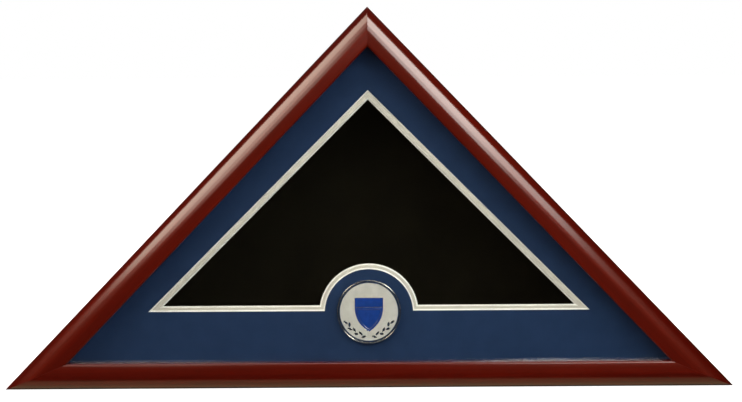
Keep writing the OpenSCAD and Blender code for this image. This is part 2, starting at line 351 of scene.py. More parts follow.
def paper(name, colour, deep, fibre=0.006):
    """Mat board's facing paper: soft mottling and fine fibres."""
    m = Material(name, Specular_IOR_Level=0.05)
    cloud = m.noise(60, 4, 0.6)
    fibres = m.noise(2600, 3, 0.7)
    tone = m.mix(m.span(cloud), deep, colour)
    m.colour(m.span(fibres, 0.35, 0.65, 0, 0.18), tone, colour)
    m.rough(fibres, 0.78, 0.92)
    m.bump(fibres, fibre * MM)
    return m.material


def silver_paper():
    """Silver-faced mat paper: fine grit whose specks are also lightened as painted sparkle, and a weak
    metallic shine.
    """
    m = Material("silver_paper", Metallic=0.35)
    grit_and_sparkle = m.noise(4200, 2, 0.6)
    cloud = m.noise(90, 3, 0.6)
    tone = m.mix(m.span(cloud), srgb(190, 186, 177), srgb(204, 200, 192))
    # The grit's specks are lightened towards pale silver: painted sparkle over the real grit, which also
    # roughens and bumps the paper.
    m.colour(m.span(grit_and_sparkle, 0.4, 0.7, 0, 0.35), tone, srgb(222, 219, 213))
    m.rough(grit_and_sparkle, 0.42, 0.62)
    m.bump(grit_and_sparkle, 0.02 * MM)
    return m.material


def nickel():
    """Satin nickel with a fine blasted grain and faint tarnish."""
    m = Material("satin_nickel", Metallic=0.75)
    blast = m.noise(7000, 2, 0.6)
    cloud = m.noise(160, 3, 0.6)
    tone = m.mix(m.span(cloud), srgb(193, 192, 187), srgb(211, 210, 206))
    m.colour(m.span(blast, 0.4, 0.7, 0, 0.3), tone, srgb(224, 223, 220))
    m.rough(blast, 0.42, 0.56)
    m.bump(blast, 0.012 * MM)
    return m.material


def enamel(name, colour, deep):
    """Hard enamel: glossy and faintly cloudy, with a slight orange peel."""
    m = Material(name, Roughness=0.2, Coat_Weight=1.0, Coat_Roughness=0.05)
    cloud = m.noise(420, 4, 0.65)
    m.colour(m.span(cloud), deep, colour)
    m.bump(m.noise(1500, 1), 0.01 * MM, True)
    return m.material


def velvet():
    """Black velvet: short pile that lies in slightly different ways."""
    m = Material("black_velvet", Roughness=0.95, Specular_IOR_Level=0.03, Sheen_Weight=0.12,
                 Sheen_Roughness=0.35, Sheen_Tint=srgb(60, 57, 50))
    lie = m.noise(22, 4, 0.6, 0.4)
    pile = m.noise(3200, 2, 0.7)
    tone = m.mix(m.span(lie, 0.35, 0.65), srgb(15, 13, 8), srgb(23, 21, 14))
    m.colour(m.span(pile, 0.35, 0.7, 0, 0.5), tone, srgb(9, 9, 8))
    m.bump(pile, 0.08 * MM)
    return m.material


def hardboard():
    """Tempered hardboard: pressed fibres, flecks and a faint waxy shine."""
    m = Material("hardboard", Specular_IOR_Level=0.35)
    felt = m.noise(900, 5, 0.75, 1.2)
    cloud = m.noise(28, 4, 0.6)
    fleck = m.cells(420, m.place(0, (1, 1, 2.5)))
    tone = m.mix(m.span(cloud), srgb(120, 82, 50), srgb(132, 92, 58))
    tone = m.mix(m.span(felt, 0.35, 0.7, 0, 0.6), tone, srgb(84, 52, 29))
    m.colour(m.span(fleck, 0.05, 0.16, 0.5, 0), tone, srgb(58, 35, 20))
    m.rough(felt, 0.48, 0.7)
    m.bump(felt, 0.06 * MM)
    return m.material


def pine(side):
    """Planed pine: pale early wood and darker late wood along the strip."""
    m = Material(f"pine_{side.name}")
    rings = m.noise(1, 2, 0.5, 1.5, m.place(side.turn, (3.5, 130, 130)))
    late = m.math("PINGPONG", m.math("MULTIPLY", rings, 9), 0.5)
    fibre = m.noise(1, 2, 0.6, 0, m.place(side.turn, (60, 2200, 2200)))
    tone = m.mix(m.span(late, 0.1, 0.45), srgb(214, 178, 126), srgb(176, 128, 76))
    m.colour(m.span(fibre, 0.45, 0.75, 0, 0.4), tone, srgb(150, 106, 62))
    m.rough(fibre, 0.55, 0.75)
    m.bump(fibre, 0.04 * MM)
    return m.material


def black_plastic():
    """Extruded black polystyrene with faint lines and dust."""
    m = Material("black_plastic")
    dust = m.noise(700, 4, 0.7)
    m.colour(m.span(dust, 0.45, 0.8, 0, 0.4), srgb(12, 12, 13), srgb(34, 33, 32))
    m.rough(dust, 0.4, 0.6)
    m.bump(dust, 0.02 * MM)
    return m.material


def metal(name, bright, dull, smooth, coarse):
    """Plated metal: fine scratches, dull patches and small pits."""
    m = Material(name, Metallic=1.0)
    patch = m.noise(240, 4, 0.65)
    scratch = m.noise(1, 2, 0.6, 0, m.place(0.4, (150, 2500, 2500)))
    pit = m.cells(900)
    tone = m.mix(m.span(patch, 0.35, 0.7), bright, dull)
    m.colour(m.span(scratch, 0.5, 0.75, 0, 0.35), tone, bright)
    m.rough(patch, smooth, coarse)
    m.bump(m.math("ADD", scratch, m.span(pit, 0.05, 0.2, 0, 0.6)), 0.012 * MM)
    return m.material


def rubber():
    """Clear polyurethane bumper, slightly hazy."""
    m = Material("clear_rubber", Transmission_Weight=0.55, IOR=1.46)
    haze = m.noise(500, 3, 0.6)
    m.colour(m.span(haze), srgb(205, 205, 200), srgb(226, 226, 222))
    m.rough(haze, 0.22, 0.34)
    m.bump(haze, 0.01 * MM)
    return m.material


def foam():
    """White foam tape with open cells."""
    m = Material("foam_tape", Roughness=0.9)
    cell = m.cells(1800)
    m.colour(m.span(cell, 0.1, 0.5), srgb(186, 185, 180), srgb(232, 231, 226))
    m.bump(cell, 0.08 * MM)
    return m.material


# ------- mesh helpers


class Shape:
    """Points and faces of one or more closed solids, with a material number for each face."""

    def __init__(self):
        self.points, self.faces, self.kinds = [], [], []

    def add(self, points, faces, matrix=Matrix(), kinds=0):
        """One closed solid, placed by the matrix and turned the right way out."""
        kinds = kinds if isinstance(kinds, list) else [kinds] * len(faces)
        work = bmesh.new()
        corners = [work.verts.new(matrix @ Vector(p)) for p in points]
        for face, kind in zip(faces, kinds):
            work.faces.new([corners[i] for i in face]).material_index = kind
        bmesh.ops.recalc_face_normals(work, faces=work.faces)
        if work.calc_volume(signed=True) < 0:
            bmesh.ops.reverse_faces(work, faces=work.faces)
        work.verts.index_update()
        first = len(self.points)
        self.points += [v.co.copy() for v in work.verts]
        self.faces += [[first + v.index for v in face.verts] for face in work.faces]
        self.kinds += [face.material_index for face in work.faces]
        work.free()
        return self

    def mesh(self, name):
        data = bpy.data.meshes.new(name)
        data.from_pydata([tuple(p) for p in self.points], [], self.faces)
        data.polygons.foreach_set("material_index", self.kinds)
        return data


def linked(name, data):
    """A new object in the scene."""
    made = bpy.data.objects.new(name, data)
    bpy.context.scene.collection.objects.link(made)
    return made


def piece(name, shape, materials, nodes, cutter=None, sharp=12, body="case"):
    """A finished piece: its mesh, less the cutter's solids, its materials, and its place in the frame."""
    made = linked(name, shape.mesh(name))
    for material in materials:
        made.data.materials.append(material)
    if cutter is not None:
        cut(made, cutter)
    made.data.shade_smooth()
    made.data.set_sharp_from_angle(angle=radians(sharp))
    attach(made, body)
    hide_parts(*nodes)
    return made


def cut(target, cutter):
    """Takes the cutter's solids away from the target's mesh."""
    tool = linked("cutter", cutter.mesh("cutter"))
    boolean = target.modifiers.new("cut", "BOOLEAN")
    boolean.operation, boolean.solver, boolean.object = "DIFFERENCE", "EXACT", tool
    bpy.context.view_layer.update()
    done = target.evaluated_get(bpy.context.evaluated_depsgraph_get())
    result = bpy.data.meshes.new_from_object(done)
    target.modifiers.clear()
    target.data = result
    bpy.data.objects.remove(tool)


def arc(centre, radius, start, end, steps):
    """Points on an arc, angles in degrees."""
    angles = [radians(start + (end - start) * i / steps) for i in range(steps + 1)]
    return [(centre[0] + radius * cos(a), centre[1] + radius * sin(a)) for a in angles]


def eased(points, radii, steps=3):
    """A closed outline whose corners are rounded, each by its own radius; None leaves a corner as it is."""
    out = []
    for i, point in enumerate(points):
        here = Vector(point)
        if radii[i] is None:
            out.append(tuple(here))
            continue
        before = (Vector(points[i - 1]) - here).normalized()
        after = (Vector(points[(i + 1) % len(points)]) - here).normalized()
        half = before.angle(after) / 2
        reach = radii[i] / tan(half)
        centre = here + (before + after).normalized() * (radii[i] / sin(half))
        first, last = here + before * reach - centre, here + after * reach - centre
        for k in range(steps + 1):
            spoke = first.lerp(last, k / steps).normalized()
            out.append(tuple(centre + spoke * radii[i]))
    return out


def offset(points, distance):
    """A closed outline moved to its left by distance, with mitred corners."""
    out = []
    for i, point in enumerate(points):
        here = Vector(point)
        before = (here - Vector(points[i - 1])).normalized()
        after = (Vector(points[(i + 1) % len(points)]) - here).normalized()
        left_a, left_b = Vector((-before.y, before.x)), Vector((-after.y, after.x))
        move = (left_a + left_b) * (distance / (1 + left_a.dot(left_b)))
        out.append(tuple(here + move))
    return out


def strip_faces(first, second, count):
    """Quads between two rings of count points that start at first and second."""
    nexts = [(i, (i + 1) % count) for i in range(count)]
    return [(first + i, first + j, second + j, second + i) for i, j in nexts]


def cap_faces(contours, first):
    """Triangles that fill an outline with holes, whose points are numbered from first."""
    loops = [[Vector((x, y, 0)) / MM for x, y in contour] for contour in contours]
    return [tuple(first + i for i in face) for face in tessellate_polygon(loops)]


def slab(outlines, z0, z1, edge, steps=3):
    """A plate between z0 and z1 with rounded edges. The first outline runs anticlockwise and the
    others, its holes, run clockwise."""
    points, faces, low, high = [], [], [], []
    for outline in outlines:
        rings = []
        for k in range(steps + 1):
            a = pi / 2 * k / steps
            rings.append((z0 + edge * (1 - sin(a)), edge * (1 - cos(a))))
        rings = [(z, inset) for z, inset in reversed(rings)]
        rings += [(z0 + z1 - z, inset) for z, inset in reversed(rings)]
        begin = len(points)
        for z, inset in rings:
            points += [(x, y, z) for x, y in offset(outline, inset)]
        count = len(outline)
        for k in range(len(rings) - 1):
            faces += strip_faces(begin + k * count, begin + (k + 1) * count, count)
        low.append(range(begin, begin + count))
        high.append(range(begin + (len(rings) - 1) * count, begin + len(rings) * count))
    for loops in (low, high):
        flat = [[points[i][:2] for i in loop] for loop in loops]
        order = [i for loop in loops for i in loop]
        faces += [tuple(order[i] for i in face) for face in cap_faces(flat, 0)]
    return points, faces


def skin(rings, first, last):
    """A closed solid over rings of equally many points, with a point at each end."""
    count, points, faces = len(rings[0]), [first], []
    for ring in rings:
        points += ring
    points.append(last)
    top = 1 + (len(rings) - 1) * count
    for i in range(count):
        faces.append((0, 1 + (i + 1) % count, 1 + i))
        faces.append((top + i, top + (i + 1) % count, len(points) - 1))
    for k in range(len(rings) - 1):
        faces += strip_faces(1 + k * count, 1 + (k + 1) * count, count)
    return points, faces


def turned(radius, z, steps):
    """A ring of points round Z; the radius may be a number or a function of the share of a turn."""
    radii = [radius(i / steps) if callable(radius) else radius for i in range(steps)]
    angles = [2 * pi * i / steps for i in range(steps)]
    return [(r * cos(a), r * sin(a), z) for r, a in zip(radii, angles)]


def lathe(profile, steps=48):
    """A solid turned about Z from an open profile of (radius, z) that starts and ends on the axis."""
    rings = [turned(r, z, steps) for r, z in profile[1:-1]]
    return skin(rings, (0, 0, profile[0][1]), (0, 0, profile[-1][1]))


def turned_ring(profile, steps=96):
    """A ring turned about Z from a closed profile of (radius, z)."""
    size, points, faces = len(profile), [], []
    for i in range(steps):
        a = 2 * pi * i / steps
        points += [(r * cos(a), r * sin(a), z) for r, z in profile]
        faces += strip_faces(i * size, (i + 1) % steps * size, size)
    return points, faces


def mitred(side, section, ease):
    """A length of moulding or strip with a section of (u, depth), mitred at both ends. A fine chamfer
    at the mitres leaves the hairline that shows where two lengths meet."""
    shrunk = offset(section, ease)
    stations = []
    for outline, back in ((shrunk, 0), (section, ease)):
        stations.append([(u * side.cots[0] + back, u, y) for u, y in outline])
    for outline, back in ((section, ease), (shrunk, 0)):
        stations.append([(side.length - u * side.cots[1] - back, u, y) for u, y in outline])
    points = [p for station in stations for p in station]
    count = len(section)
    faces = [f for k in range(3) for f in strip_faces(k * count, (k + 1) * count, count)]
    faces += cap_faces([shrunk], 0)
    faces += cap_faces([shrunk], 3 * count)
    return points, faces


def inset(t):
    """The case's triangle moved inwards by t, anticlockwise."""
    reach = HALF_W - t / tan(BASE_A / 2)
    return [(-reach, t), (reach, t), (0, CASE_H - t / cos(BASE_A))]


def circle(radius, steps, clockwise=False):
    turn = -360 if clockwise else 360
    return arc((0, 0), radius, 0, turn, steps)[:-1]


# ------- frame


def rail_section():
    """Outline of the moulding as (u, depth): outer round, crown, sight edge, lip, wall and rebate."""
    lip_y, rebate_y = GLASS_Y, LINING_Y
    crown_end = FACE_W - SIGHT_R
    crown_a = degrees(asin((crown_end - ROUND_R) / CROWN_R))
    crown_y = FRONT_Y + CROWN_R * (1 - cos(radians(crown_a)))
    rounds = arc((ROUND_R, FRONT_Y + ROUND_R), ROUND_R, 180, 270, 28)
    rounds += arc((ROUND_R, FRONT_Y + CROWN_R), CROWN_R, 270, 270 + crown_a, 10)[1:]
    rounds += arc((crown_end, crown_y + SIGHT_R), SIGHT_R, 270 + crown_a, 360, 10)[1:]
    corners = [
        (FACE_W, lip_y), (WALL_T, lip_y), (WALL_T, rebate_y), (LAND_W, rebate_y), (LAND_W, REAR_Y),
        (0, REAR_Y),
    ]
    radii = [0.4 * MM, None, 0.4 * MM, None, 0.4 * MM, 1.2 * MM]
    return eased(rounds + corners, [None] * len(rounds) + radii)


def corner_places():
    """The frame of each V-nail: X along the mitre and Z towards the back."""
    corners = ((RIGHT.start + RIGHT.along * RIGHT.length, BASE_A / 2, FOOT_NAILS),
               (LEFT.start, pi - BASE_A / 2, FOOT_NAILS),
               (RIGHT.start, 3 * pi / 2, APEX_NAILS))
    for corner, turn, places in corners:
        inward = Vector((-cos(turn), 0, sin(turn)))
        across = Vector((0, 1, 0)).cross(inward)
        axes = Matrix((inward, across, (0, 1, 0))).transposed().to_4x4()
        for s in places:
            place = corner + inward * s + Vector((0, REAR_Y, 0))
            yield Matrix.Translation(place) @ axes


def v_nails(sink, grow):
    """The V-nails, each a folded plate, or the slots that they are driven into."""
    half, reach, fold = NAIL_T / 2 + grow, NAIL_LEG + grow, sqrt(0.5)
    leg = [(reach * fold - half * fold, reach * fold + half * fold), (-half * fold, half * fold)]
    end = (reach * fold + half * fold, reach * fold - half * fold)
    outline = leg + [(x, -y) for x, y in reversed(leg)] + [(end[0], -end[1]), (half / fold, 0), end]
    shape = Shape()
    for place in corner_places():
        shape.add(*slab([outline], -NAIL_DEPTH - grow, -sink, 0.04 * MM, 1), place)
    return shape


def rails():
    """The three lengths of moulding. Their outer faces have a duller lacquer."""
    section = rail_section()
    pilot = slab([circle(SCREW_R - BITE, 24)], -SCREW_L, MM, 0.02 * MM, 1)
    for side in SIDES:
        cutter = v_nails(-1 * MM, 0.03 * MM)
        for _, on, s, _ in BUTTONS:
            if on is side:
                cutter.add(*pilot, side.land(s))
        for _, on, s, turn in HANGERS:
            if on is side:
                cutter.add(*pilot, side.land(s, turn) @ Matrix.Translation((STRAP_HOLE, 0, 0)))
        points, faces = mitred(side, section, GROOVE)
        kinds = [int(all(points[i][1] < OUTER_U for i in face)) for face in faces]
        shape = Shape().add(points, faces, side.matrix(), kinds)
        woods = [mahogany(side, "front", 1.0, 0.32, 0.42), mahogany(side, "outer", 0.0, 0.46, 0.56)]
        name = f"{side.name}_rail"
        piece(f"{name}_moulding", shape, woods, [name], cutter)


def strip(side, kind, near, far, rounding, ease, finish):
    """A strip along one side, whose section lies between two corners given as (u, depth)."""
    outline = [near, (far[0], near[1]), far, (near[0], far[1])]
    shape = Shape().add(*mitred(side, eased(outline, [rounding] * 4), ease), side.matrix())
    name = f"{kind}_{side.name}"
    piece(f"{name}_strip", shape, [finish], [name])


def strips():
    """The spacers behind the glass and the stops behind the mats."""
    plastic = black_plastic()
    for side in SIDES:
        near, far = (SPACER_U, SPACER_Y), (SPACER_END, BLUE_Y)
        strip(side, "spacer", near, far, 0.3 * MM, 0.05 * MM, plastic)
        near, far = (WALL_T, STOP_Y), (WALL_T + STOP_S, STOP_Y + STOP_S)
        strip(side, "mat_stop", near, far, 0.5 * MM, 0.15 * MM, pine(side))


def glass_pane():
    outline = eased(inset(WALL_T + PLAY), [1.5 * MM] * 3, 5)
    shape = Shape().add(*slab([outline], GLASS_Y, SPACER_Y, 0.2 * MM), UPRIGHT)
    piece("glass_pane", shape, [glass()], ["front_glass"])


# ------- mats and medallion


def window(grow, low_grow):
    """Outline of the mat's window, clockwise: 45 degree sides and an arch over the medallion."""
    apex, foot, radius = WINDOW_APEX_Z - grow * sqrt(2), WINDOW_Z + low_grow, ARCH_R + low_grow
    start = degrees(asin((foot - ARCH_Z) / radius))
    over = arc((0, ARCH_Z), radius, start, 180 - start, 64)
    return [(foot - apex, foot), (0, apex), (apex - foot, foot)] + over


def mat(y0, y1, front_window, back_window):
    """A mat board whose window is cut on a bevel. Faces: 0 is its paper and 1 its core."""
    outer = inset(WALL_T + PLAY)
    front, back = [outer, front_window], [outer, back_window]
    points = [(x, z, y0) for loop in front for x, z in loop]
    points += [(x, z, y1) for loop in back for x, z in loop]
    total, rim, hole = len(points) // 2, len(outer), len(front_window)
    faces = cap_faces(front, 0)
    kinds = [0] * len(faces)
    faces += cap_faces(back, total)
    faces += strip_faces(0, total, rim)
    faces += strip_faces(rim, total + rim, hole)
    kinds += [1] * (len(faces) - len(kinds))
    return Shape().add(points, faces, UPRIGHT, kinds)


def mats():
    """The blue mat over the silver one, each with its own window and bevel."""
    core = paper("mat_core", srgb(240, 240, 238), srgb(228, 227, 223), 0.02)
    blue = paper("blue_paper", srgb(33, 51, 83), srgb(29, 46, 77))
    shape = mat(BLUE_Y, SILVER_Y, window(0, 0), window(BLUE_BEVEL, BLUE_BEVEL))
    piece("blue_mat_board", shape, [blue, core], ["blue_mat"])
    front = window(REVEAL - SILVER_BEVEL, LOW_REVEAL - SILVER_BEVEL)
    shape = mat(SILVER_Y, STOP_Y, front, window(REVEAL, LOW_REVEAL))
    piece("silver_mat_board", shape, [silver_paper(), core], ["silver_mat"])


def shield_field(margin):
    """The lower part of the heater shield, anticlockwise, moved inwards by margin."""
    base, half, radius = CHIEF_Z - CHIEF_H, SHIELD_W / 2, SHIELD_W - margin
    start, tip = asin(margin / radius), acos(half / radius)
    right = arc((-half, base), radius, -degrees(start), -degrees(tip), 24)
    left = [(-x, y) for x, y in right[:-1]]
    return left + right[::-1]


def shield_chief():
    """The upper bar of the shield, anticlockwise."""
    foot, half = CHIEF_Z - CHIEF_H + CHIEF_GAP, SHIELD_W / 2
    return [(-half, foot), (half, foot), (half, CHIEF_Z), (-half, CHIEF_Z)]


def leaves():
    """Outlines of the laurel's leaves, anticlockwise."""
    bow = (LEAF_L**2 + LEAF_W**2) / (4 * LEAF_W)
    half = degrees(asin(LEAF_L / 2 / bow))
    upper = arc((0, LEAF_W / 2 - bow), bow, 90 - half, 90 + half, 10)
    lower = arc((0, bow - LEAF_W / 2), bow, 270 - half, 270 + half, 10)
    lens = upper + lower[1:-1]
    for flip in (1, -1):
        for i in range(LEAF_COUNT):
            about = radians(SPRIG_FROM + i * LEAF_STEP - 90)
            way = 1 if i % 2 == 0 else -1
            tilt = about + radians(90 - way * LEAF_TILT)
            radius = SPRIG_R + way * LEAF_SHIFT
            place = Vector((radius * cos(about), radius * sin(about)))
            leaf = [place + Matrix.Rotation(tilt, 2) @ Vector(p) for p in lens]
            points = [(flip * p.x, p.y) for p in leaf]
            yield points if flip > 0 else points[::-1]


def domed(outline, z0, z1, dome, run):
    """An enamel cell: straight walls up to z1 and a rounded top that rises by dome over run."""
    points, faces, count, steps = [], [], len(outline), 4
    levels = [(z0, 0), (z1, 0)]
    for k in range(1, steps + 1):
        a = pi / 2 * k / steps
        levels.append((z1 - dome * sin(a), run * (1 - cos(a))))
    for z, shift in levels:
        points += [(x, y, z) for x, y in offset(outline, shift)]
    for k in range(len(levels) - 1):
        faces += strip_faces(k * count, (k + 1) * count, count)
    faces += cap_faces([outline], 0)
    faces += cap_faces([offset(outline, run)], (len(levels) - 1) * count)
    return points, faces


def cell_wall(outline, width, height):
    """A fine metal wall round an enamel cell, standing on the disc's face."""
    outer = offset(outline, -width)
    return slab([outer, outline[::-1]], -height, 0.05 * MM, 0.08 * MM, 2)


def disc_profile(ring_in, ring_out):
    """The disc's profile from its face to its back: a bead, the enamel ring's channel, a round rim."""
    crest = RIM_W / 2 - INLAY_PROUD
    profile = [(0, 0), (ring_in - 1.2 * MM, 0), (ring_in - 0.9 * MM, 0)]
    profile += arc((ring_in - BEAD_R, 0), BEAD_R, 180, 360, 8)
    profile = [(r, max(y, -INLAY_PROUD)) for r, y in profile]
    profile += [(ring_in, INLAY_T), (ring_out, INLAY_T), (ring_out, crest)]
    profile += arc((ring_out + RIM_W / 2, crest), RIM_W / 2, 180, 360, 10)[1:]
    return profile + [(MEDAL_R, MEDAL_T - 0.3 * MM), (MEDAL_R - 0.3 * MM, MEDAL_T), (0, MEDAL_T)]


def medallion():
    """The cast disc, with fine walls round the cells of its shield and laurel."""
    satin = nickel()
    polished = metal("polished_nickel", srgb(222, 220, 212), srgb(188, 186, 178), 0.1, 0.2)
    ring_in, ring_out = MEDAL_R - RIM_W - ENAMEL_W, MEDAL_R - RIM_W
    points, faces = lathe(disc_profile(ring_in, ring_out), 144)
    kinds = [int(all(hypot(*points[i][:2]) > ring_out - 0.01 * MM for i in face)) for face in faces]
    disc = Shape().add(points, faces, ON_MEDAL, kinds)
    shield, laurel = [shield_chief(), shield_field(0)], list(leaves())
    cutter, walls = Shape(), Shape()
    for outline in shield + laurel:
        cutter.add(*slab([outline], -0.5 * MM, INLAY_T, 0.01 * MM, 1), ON_MEDAL)
        walls.add(*cell_wall(outline, WALL_LINE, INLAY_PROUD), ON_MEDAL)
    metals = [satin, polished]
    piece("medallion_face", disc, metals, ["medallion_disc"], cutter, 25)
    fillet = [shield_field(1.6 * MM), shield_field(2 * MM)[::-1]]
    walls.add(*slab(fillet, -INLAY_PROUD - 0.03 * MM, INLAY_T, 0.06 * MM, 2), ON_MEDAL)
    piece("medallion_cell_walls", walls, [polished], ["medallion_disc"])
    enamels(ring_in, ring_out, shield, laurel)

    pad_lo, pad_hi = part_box("medallion_pad")
    outline = circle((pad_hi.x - pad_lo.x) / 2, 72)
    shape = Shape().add(*slab([outline], pad_lo.y - MEDAL_Y, pad_hi.y - MEDAL_Y, 0.15 * MM), ON_MEDAL)
    piece("medallion_foam_pad", shape, [foam()], ["medallion_pad"])


def enamels(ring_in, ring_out, shield, laurel):
    """The enamel of the ring, the shield and the laurel, each slightly domed."""
    navy = enamel("navy_enamel", srgb(22, 44, 74), srgb(14, 32, 58))
    royal = enamel("royal_enamel", srgb(20, 60, 140), srgb(12, 45, 116))
    half, rise, steps = ENAMEL_W / 2, INLAY_PROUD + 0.02 * MM, 10
    ring = [(ring_in, INLAY_T), (ring_out, INLAY_T), (ring_out, 0)]
    for k in range(1, steps):
        a = pi * k / steps
        ring.append((ring_out - half + half * cos(a), -rise * sin(a)))
    ring.append((ring_in, 0))
    shape = Shape().add(*turned_ring(ring, 144), ON_MEDAL)
    piece("medallion_ring_enamel", shape, [navy], ["medallion_enamel_ring"], sharp=25)
    inlays = (("shield", shield, 0.5 * MM, royal, "enamel_blue"),
              ("laurel", laurel, 0.25 * MM, navy, "enamel_navy"))
    for name, outlines, run, finish, slot in inlays:
        shape, node = Shape(), f"medallion_{name}"
        for outline in outlines:
            shape.add(*domed(outline, INLAY_T, 0, INLAY_PROUD, run), ON_MEDAL)
        piece(f"{node}_enamel", shape, [finish], [node], sharp=25)


# ------- back and hardware


def back_panel():
    """The hardboard back and the velvet glued to its front."""
    outline = eased(inset(BOARD_U), [1 * MM] * 3, 4)
    shape = Shape().add(*slab([outline], BOARD_Y, REAR_Y, 0.4 * MM), UPRIGHT)
    piece("hardboard_back", shape, [hardboard()], ["back_board"], body="back_panel")
    shape = Shape().add(*slab([outline], LINING_Y, BOARD_Y, 0.3 * MM), UPRIGHT)
    cloth = piece("velvet_lining", shape, [velvet()], ["back_lining"], body="back_panel")


def turn_buttons(brass):
    """The six brass plates that hold the back in, each loose on its screw."""
    reach, half = BUTTON_L - BUTTON_W, BUTTON_W / 2
    outline = arc((0, 0), half, 90, 270, 20) + arc((reach, 0), half, -90, 90, 20)
    hole = circle(SCREW_R + RUNNING, 24, True)
    for name, side, s, direction in BUTTONS:
        node = f"turn_button_{name}"
        place = side.land(s, 0 if direction > 0 else pi)
        shape = Shape().add(*slab([outline, hole], WASHER_T, WASHER_T + BUTTON_T, 0.3 * MM), place)
        shape.add(*boss(), place @ Matrix.Translation((reach, 0, WASHER_T + BUTTON_T)))
        piece(f"{node}_plate", shape, [brass], [node], body=node)


def boss():
    """The low round boss that a finger catches at a turn button's free end."""
    sunk, steps = -0.2 * MM, 8
    profile = [(0, sunk), (BOSS_R, sunk), (BOSS_R, 0)]
    for k in range(1, steps):
        a = pi / 2 * k / steps
        profile.append((BOSS_R * cos(a), BOSS_H * sin(a) ** 0.8))
    return lathe(profile + [(0, BOSS_H)], 32)


def screw(gap):
    """A pan-head wood screw: a pointed shank with a helical thread, and a crowned head."""
    steps, shank_rows, crown_rows, top = 24, 64, 9, gap + HEAD_T
    rings = []
    for k in range(1, shank_rows + 1):
        z = -SCREW_L + (SCREW_L + gap - 0.2 * MM) * k / shank_rows
        taper = min(1, (z + SCREW_L) / POINT_L) ** 0.7

        def threaded(share, z=z, taper=taper):
            ridge = max(0, 1 - abs((z / THREAD_PITCH - share) % 1 - 0.5) * 4) if z < THREAD_TOP else 0.5
            return (0.74 + 0.26 * ridge) * SCREW_R * taper

        rings.append(turned(threaded, z, steps))
    edge, crown_z = 0.25 * MM, gap + 0.6 * MM
    rings += [turned(SCREW_R, gap, steps), turned(HEAD_R - edge, gap, steps)]
    rings += [turned(r, z, steps) for r, z in arc((HEAD_R - edge, gap + edge), edge, -60, 0, 3)]
    rings.append(turned(HEAD_R, crown_z, steps))
    for k in range(1, crown_rows):
        a = pi / 2 * k / crown_rows
        rings.append(turned(HEAD_R * cos(a) ** 0.6, crown_z + (top - crown_z) * sin(a), steps))
    return skin(rings, (0, 0, -SCREW_L), (0, 0, top))


def cross_recess(gap):
    """The cross-shaped hole in a screw's head."""
    arm, half = 1.55 * MM, 0.4 * MM
    quarter = [(arm, -half), (arm, half), (half, half)]
    outline = []
    for turn in range(4):
        rotation = Matrix.Rotation(RECESS_TURN + turn * pi / 2, 2)
        outline += [tuple(rotation @ Vector(p)) for p in quarter]
    return slab([outline], gap + HEAD_T * 0.42, gap + HEAD_T + MM, 0.05 * MM, 1)


def screws(name, node, gap, places, steel):
    """A set of screws whose heads stand on a plate, gap above the rail."""
    shape, cutter = Shape(), Shape()
    for place in places:
        shape.add(*screw(gap), place)
        cutter.add(*cross_recess(gap), place)
    piece(name, shape, [steel], [node], cutter, 32)


def washers(places, steel):
    outline = [(SCREW_R, 0), (WASHER_R, 0), (WASHER_R, WASHER_T), (SCREW_R, WASHER_T)]
    section = eased(outline, [0.12 * MM] * 4, 2)
    shape = Shape()
    for place in places:
        shape.add(*turned_ring(section, 40), place)
    piece("turn_button_washer_set", shape, [steel], ["turn_button_washers"], sharp=50)


def hanger_strap(name, place, steel):
    """A flat strap with a round end and a screw hole, rolled into an eye round the ring's bar."""
    half, near = STRAP_W / 2, 1.4 * MM
    shoulder = EYE_R + 1.6 * MM
    outline = [(near, -EYE_W / 2), (EYE_R, -EYE_W / 2), (shoulder, -half)]
    outline += arc((STRAP_L - half, 0), half, -90, 90, 20)
    outline += [(shoulder, half), (EYE_R, EYE_W / 2), (near, EYE_W / 2)]
    hole = [(STRAP_HOLE + x, y) for x, y in circle(SCREW_R, 24, True)]
    shape = Shape().add(*slab([outline, hole], 0, STRAP_T, 0.15 * MM, 2), place)
    roll_r = WIRE_R + RUNNING + STRAP_T / 2
    rise = [(near + 0.9 * MM, STRAP_T / 2), (near + 0.4 * MM, STRAP_T / 2 + 0.02 * MM)]
    middle = rise + arc((0, EYE_H), roll_r, -62, -350, 32)
    wide, thick = EYE_W / 2, STRAP_T / 2
    section = eased([(-wide, -thick), (wide, -thick), (wide, thick), (-wide, thick)], [0.12 * MM] * 4, 2)
    points, faces, count = [], [], len(section)
    for i, here in enumerate(middle):
        back, ahead = Vector(middle[max(i - 1, 0)]), Vector(middle[min(i + 1, len(middle) - 1)])
        run = (ahead - back).normalized()
        normal = Vector((-run.y, run.x))
        points += [(here[0] + normal.x * t, y, here[1] + normal.y * t) for y, t in section]
    for k in range(len(middle) - 1):
        faces += strip_faces(k * count, (k + 1) * count, count)
    last = (len(middle) - 1) * count
    faces += [tuple(range(count)), tuple(range(last, last + count))]
    shape.add(points, faces, place)
    piece(f"hanger_strap_{name}_plate", shape, [steel], [f"hanger_strap_{name}"], sharp=13)


def d_ring(name, place, steel):
    """A closed D of round wire: the bar in the eye, two legs and a half-round bow."""
    bend = 1.3 * MM
    route = [(0, 0)]
    route += arc((bend, RING_R - bend), bend, 180, 90, 6)
    route += arc((RING_LEG, 0), RING_R, 90, -90, 36)
    route += arc((bend, bend - RING_R), bend, -90, -180, 6)
    route = [Vector((x, y, 0)) for x, y in route]
    steps, points, faces = 14, [], []
    for i, here in enumerate(route):
        run = (route[(i + 1) % len(route)] - route[i - 1]).normalized()
        side = Vector((-run.y, run.x, 0))
        for k in range(steps):
            a = 2 * pi * k / steps
            lift = Vector((0, 0, EYE_H + WIRE_R * sin(a)))
            points.append(here + side * (WIRE_R * cos(a)) + lift)
        faces += strip_faces(i * steps, (i + 1) % len(route) * steps, steps)
    node = f"d_ring_{name}"
    shape = Shape().add(points, faces, place)
    piece(f"{node}_wire", shape, [steel], [node], sharp=30, body=node)


